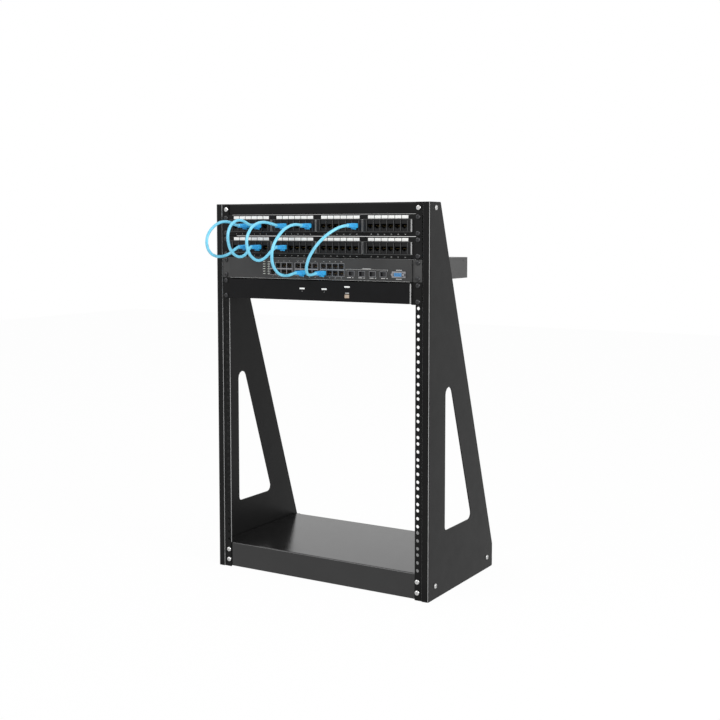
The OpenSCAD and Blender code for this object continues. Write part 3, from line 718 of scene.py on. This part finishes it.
def vent_plates(bm):
    """Two slotted plates over the vents in the switch's rear."""
    node = "switch_housing"
    wide, tall, bar, thick = 90 * MM, 26 * MM, 1.6 * MM, 0.6 * MM
    for x in (-20 * MM, 120 * MM):
        centre = Vector((x, high(node).y + thick / 2, middle(node).z))
        for z in (-0.5, 0.5):
            block(bm, centre + Vector((0, 0, z * tall)), (wide + bar, thick, 2 * bar))
        for offset in spread(-wide / 2, wide / 2, 24):
            block(bm, centre + Vector((offset, 0, 0)), (bar, thick, tall))


def lid_screws(bm):
    """Low countersunk heads along the sides of the switch's lid."""
    node = "switch_housing"
    for side, _ in SIDES:
        edge = high(node).x if side > 0 else low(node).x
        for y in spread(low(node).y + 30 * MM, high(node).y - 20 * MM, 3):
            turn = Matrix.Translation((edge, y, high(node).z - 6 * MM)) @ Matrix.Rotation(
                side * math.pi / 2, 4, "Y")
            rod(bm, turn, 0.8 * MM, 2.6 * MM, 1.8 * MM, 20)


SWITCH_FINISHES = {"housing": "switch", "ears": "switch", "faceplate": "switch_face",
                   "port_blocks": "shield", "transceiver_cages": "shield",
                   "serial_port": "shield", "status_lights": "lamp",
                   "power_inlet": "black_plastic"}
SWITCH_PIECES = (
    ("switch_print", switch_print, "ink", "white_labels"),
    ("switch_port_contacts", lambda bm: contacts(bm, port_mouths()), "gold", "nickel_shields"),
    ("switch_port_inserts", port_inserts, "black_plastic", "black_plastic"),
    ("serial_port_face", lambda bm: socket_face(bm, serial_mouth(), -1), "serial",
     "blue_plastic"),
    ("serial_port_pins", lambda bm: socket_pins(bm, serial_mouth(), -1, (5, 4), 2.8 * MM),
     "black_plastic", "black_plastic"),
    ("switch_cage_flaps", cage_flaps, "dark_screw", "nickel_shields"),
    ("switch_vent_plates", vent_plates, "switch_face", "grey_housing"),
    ("switch_lid_screws", lid_screws, "dark_screw", "black_screws"),
)


class RACK_OT_switch(bpy.types.Operator):
    """Housing, face, ports, cages and serial port of the network switch"""

    bl_idname = "rack.switch"
    bl_label = "Network switch"

    def execute(self, context):
        finishes = palette(context)
        for node, key in SWITCH_FINISHES.items():
            finish(f"switch_{node}", finishes[key])
        for name, build, key, slot in SWITCH_PIECES:
            piece(name, build, finishes[key])
        return {"FINISHED"}


# ------------------------------------------------------------- the console unit


def console_print(bm):
    """Numbers under the two port indicators and a bar over the button."""
    face = low("console_bezel").y - INK
    lamps, button = "console_indicators", "console_button"
    first = low(lamps).x + INDICATOR_W / 2
    for i in range(2):
        place = Vector((first + i * INDICATOR_PITCH, face, low(lamps).z - 4.4 * MM))
        lettering(bm, str(i + 1), place, 2.4 * MM)
    dash(bm, Vector((middle(button).x, face, high(button).z + 3 * MM)), 9 * MM, 1.4 * MM)


def rear_sockets():
    """Mouths of the two D-shaped sockets on the console unit's rear."""
    node = "console_rear_ports"
    first = high(node).x - REAR_SOCKET_INSET
    return [Vector((x, high(node).y - SOCKET_DEPTH, middle(node).z))
            for x in (first, first - REAR_SOCKET_PITCH)]


def rear_socket_faces(bm):
    for mouth in rear_sockets():
        socket_face(bm, mouth, 1)


def rear_socket_pins(bm):
    for mouth in rear_sockets():
        socket_pins(bm, mouth, 1, (5, 5, 5), 2.3 * MM)


def bezel_end_highlights(bm):
    """Pale strips at both ends of the bezel: a painted highlight where its edges catch the light."""
    node = "console_bezel"
    for x in (low(node).x, high(node).x):
        block(bm, (x, middle(node).y, middle(node).z),
              (0.4 * MM, size(node).y - 1 * MM, size(node).z - 2 * MM), 0.15 * MM)


CONSOLE_FINISHES = {"housing": "panel", "ears": "panel", "bezel": "bezel", "indicators": "label",
                    "button": "button", "rear_ports": "shield"}
CONSOLE_PIECES = (
    ("rear_socket_faces", rear_socket_faces, "serial", "blue_plastic"),
    ("rear_socket_pins", rear_socket_pins, "black_plastic", "black_plastic"),
    ("console_print", console_print, "ink", "white_labels"),
    ("console_bezel_end_highlights", bezel_end_highlights, "edge", "black_bezel"),
)


class RACK_OT_console(bpy.types.Operator):
    """Bezel, indicator bars, button and rear sockets of the console unit"""

    bl_idname = "rack.console"
    bl_label = "Console unit"

    def execute(self, context):
        finishes = palette(context)
        for node, key in CONSOLE_FINISHES.items():
            finish(f"console_{node}", finishes[key])
        for name, build, key, slot in CONSOLE_PIECES:
            piece(name, build, finishes[key])
        return {"FINISHED"}


# ------------------------------------------------------------------ the stage


def white_to_the_eye(name, colour, share):
    """A pale surface that shows white to the camera and keeps some of its shading."""
    material = bpy.data.materials.new(name)
    material.use_nodes = True
    tree = material.node_tree
    tree.nodes.clear()
    output = tree.nodes.new("ShaderNodeOutputMaterial")
    diffuse = tree.nodes.new("ShaderNodeBsdfDiffuse")
    diffuse.inputs["Color"].default_value = grey(colour)
    glow = tree.nodes.new("ShaderNodeEmission")
    glow.inputs["Color"].default_value = grey(1.0)
    blend = tree.nodes.new("ShaderNodeMixShader")
    path = tree.nodes.new("ShaderNodeLightPath")
    seen = tree.nodes.new("ShaderNodeMath")
    seen.operation = "MAXIMUM"
    tree.links.new(path.outputs["Is Camera Ray"], seen.inputs[0])
    tree.links.new(path.outputs["Is Glossy Ray"], seen.inputs[1])
    amount = tree.nodes.new("ShaderNodeMath")
    amount.operation = "MULTIPLY"
    amount.inputs[1].default_value = share
    tree.links.new(seen.outputs[0], amount.inputs[0])
    tree.links.new(amount.outputs[0], blend.inputs["Fac"])
    tree.links.new(diffuse.outputs["BSDF"], blend.inputs[1])
    tree.links.new(glow.outputs["Emission"], blend.inputs[2])
    tree.links.new(blend.outputs["Shader"], output.inputs["Surface"])
    return material


def floor():
    mesh = bpy.data.meshes.new("studio_floor")
    bm = bmesh.new()
    bmesh.ops.create_grid(bm, x_segments=1, y_segments=1, size=6)
    bm.to_mesh(mesh)
    bm.free()
    mesh.materials.append(white_to_the_eye("floor_paper", 0.82, 0.97))
    made = bpy.data.objects.new("studio_floor", mesh)
    bpy.context.collection.objects.link(made)


def studio_world(level):
    """White behind the object, and a softer level of light on it."""
    world = bpy.data.worlds.new("studio")
    world.use_nodes = True
    bpy.context.scene.world = world
    tree = world.node_tree
    background = tree.nodes["Background"]
    background.inputs["Color"].default_value = grey(1.0)
    path = tree.nodes.new("ShaderNodeLightPath")
    seen = tree.nodes.new("ShaderNodeMath")
    seen.operation = "MAXIMUM"
    tree.links.new(path.outputs["Is Camera Ray"], seen.inputs[0])
    through = tree.nodes.new("ShaderNodeMath")
    through.operation = "MAXIMUM"
    tree.links.new(path.outputs["Is Glossy Ray"], seen.inputs[1])
    tree.links.new(seen.outputs[0], through.inputs[0])
    tree.links.new(path.outputs["Is Transmission Ray"], through.inputs[1])
    strength = tree.nodes.new("ShaderNodeMapRange")
    strength.inputs["To Min"].default_value = level
    strength.inputs["To Max"].default_value = 1.0
    tree.links.new(through.outputs[0], strength.inputs["Value"])
    tree.links.new(strength.outputs["Result"], background.inputs["Strength"])


def soft_lamp(name, place, target, width, power):
    data = bpy.data.lights.new(name, "AREA")
    data.shape = "SQUARE"
    data.size = width
    data.energy = power
    made = bpy.data.objects.new(name, data)
    bpy.context.collection.objects.link(made)
    made.location = place
    made.rotation_euler = (Vector(target) - Vector(place)).to_track_quat("-Z", "Y").to_euler()


def camera(settings):
    data = bpy.data.cameras.new("camera")
    data.lens = settings.lens
    data.sensor_width = 36
    data.shift_y = settings.rise
    made = bpy.data.objects.new("camera", data)
    bpy.context.collection.objects.link(made)
    made.location = settings.place
    made.rotation_euler = (math.pi / 2 + settings.pitch, 0, settings.turn)
    bpy.context.scene.camera = made


class RACK_OT_stage(bpy.types.Operator):
    """Camera, white floor, soft lamps and plain studio world"""

    bl_idname = "rack.stage"
    bl_label = "Stage"

    def execute(self, context):
        settings = context.scene.rack_stage
        camera(settings)
        floor()
        studio_world(settings.world_level)
        target = (0, 0, 0.4)
        soft_lamp("key", (-1.8, -2.6, 2.6), target, 2.0, settings.key_power)
        soft_lamp("side", (2.6, -0.6, 1.5), target, 1.2, settings.side_power)
        context.scene.view_settings.view_transform = "Standard"
        return {"FINISHED"}


# -------------------------------------------------------------------- settings


class RackStage(bpy.types.PropertyGroup):
    """Camera and light"""

    lens: bpy.props.FloatProperty(name="Lens", description="Focal length in millimetres",
                                  default=58.07)
    rise: bpy.props.FloatProperty(name="Rise", description="Upward shift of the lens",
                                  default=-0.06)
    place: bpy.props.FloatVectorProperty(name="Place", description="Camera position",
                                         unit="LENGTH", subtype="TRANSLATION",
                                         default=(1.2935, -2.1386, 0.7355))
    turn: bpy.props.FloatProperty(name="Turn", description="Camera heading", subtype="ANGLE",
                                  default=math.radians(30.9))
    pitch: bpy.props.FloatProperty(name="Pitch", description="Camera tilt above level",
                                   subtype="ANGLE", default=math.radians(-4.33))
    world_level: bpy.props.FloatProperty(name="World", description="Light from all round",
                                         default=0.55)
    key_power: bpy.props.FloatProperty(name="Key lamp", description="Lamp at the front left",
                                       subtype="POWER", default=60)
    side_power: bpy.props.FloatProperty(name="Side lamp", description="Lamp on the right",
                                        subtype="POWER", default=60)


class RackSizes(bpy.types.PropertyGroup):
    """Sizes of the pieces that are added to the rack"""

    lead_diameter: bpy.props.FloatProperty(name="Lead", description="Diameter of a patch lead",
                                           unit="LENGTH", default=6 * MM)


class RackColours(bpy.types.PropertyGroup):
    """Colours that a user would change"""

    lead: bpy.props.FloatVectorProperty(name="Leads", description="Colour of the patch leads' jacket",
                                        subtype="COLOR", default=(0.17, 0.55, 0.74), min=0, max=1)


class RACK_PT_panel(bpy.types.Panel):
    """Lists the rack's pieces and settings"""

    bl_label = "Open frame rack"
    bl_idname = "RACK_PT_panel"
    bl_space_type = "VIEW_3D"
    bl_region_type = "UI"
    bl_category = "Rack"

    def draw(self, context):
        layout = self.layout
        for operator in OPERATORS:
            layout.operator(operator.bl_idname)
        scene = context.scene
        for group in (scene.rack_stage, scene.rack_sizes, scene.rack_colours):
            for name in group.bl_rna.properties.keys():
                if name not in ("rna_type", "name"):
                    layout.prop(group, name)


OPERATORS = (RACK_OT_stage, RACK_OT_leads, RACK_OT_frame, RACK_OT_patch_panels, RACK_OT_switch,
             RACK_OT_console)
CLASSES = (RackStage, RackSizes, RackColours) + OPERATORS + (RACK_PT_panel,)


def register():
    for cls in CLASSES:
        bpy.utils.register_class(cls)
    bpy.types.Scene.rack_stage = bpy.props.PointerProperty(type=RackStage)
    bpy.types.Scene.rack_sizes = bpy.props.PointerProperty(type=RackSizes)
    bpy.types.Scene.rack_colours = bpy.props.PointerProperty(type=RackColours)


def unregister():
    del bpy.types.Scene.rack_colours
    del bpy.types.Scene.rack_sizes
    del bpy.types.Scene.rack_stage
    for cls in reversed(CLASSES):
        bpy.utils.unregister_class(cls)


def main():
    register()
    bpy.ops.rack.stage()
    bpy.ops.rack.leads()
    bpy.ops.rack.frame()
    bpy.ops.rack.patch_panels()
    bpy.ops.rack.switch()
    bpy.ops.rack.console()


if __name__ == "__main__":
    main()
